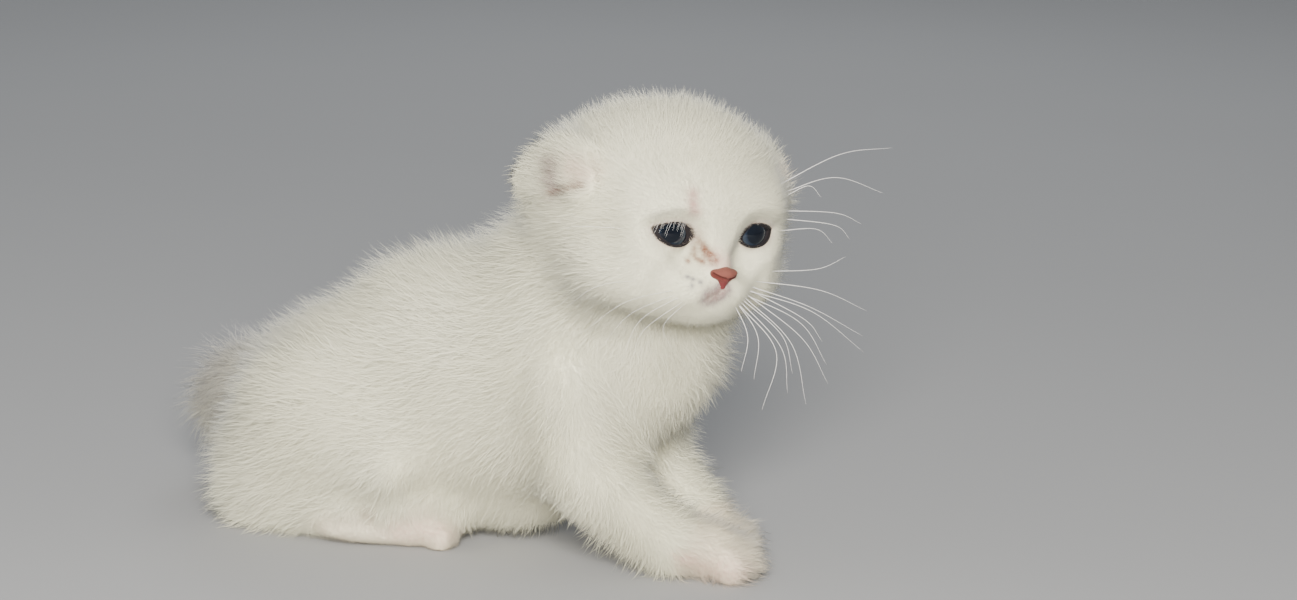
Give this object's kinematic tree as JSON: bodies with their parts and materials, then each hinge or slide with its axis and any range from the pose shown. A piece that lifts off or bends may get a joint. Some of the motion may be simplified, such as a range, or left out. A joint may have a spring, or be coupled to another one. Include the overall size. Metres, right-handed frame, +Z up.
{
  "type": "scottish fold kitten",
  "caption": "Still, life-size white kitten with folded ears, sitting back on its haunches with front legs braced ahead and the head turned to its right.",
  "frame": {"origin": "on the floor, under the middle of the whole kitten", "axes": "+X ahead of the body, +Y to the kitten's left, +Z up from the floor it sits on"},
  "size_m": [0.1792, 0.0778, 0.1225],
  "materials": {
    "coat": "soft plush coat, matte",
    "eye": "wet and glossy",
    "nose_leather": "moist satin"
  },
  "bodies": {
    "root": {"head": "coat", "neck": "coat", "torso": "coat", "tail_base": "coat", "tail_middle": "coat", "tail_tip": "coat", "ear_left": "coat", "ear_right": "coat", "front_upper_leg_left": "coat", "front_upper_leg_right": "coat", "front_lower_leg_left": "coat", "front_lower_leg_right": "coat", "front_paw_left": "coat", "front_paw_right": "coat", "thigh_left": "coat", "thigh_right": "coat", "hind_lower_leg_left": "coat", "hind_lower_leg_right": "coat", "hind_paw_left": "coat", "hind_paw_right": "coat", "eye_left": "eye", "eye_right": "eye", "nose": "nose_leather"}
  },
  "joints": []
}
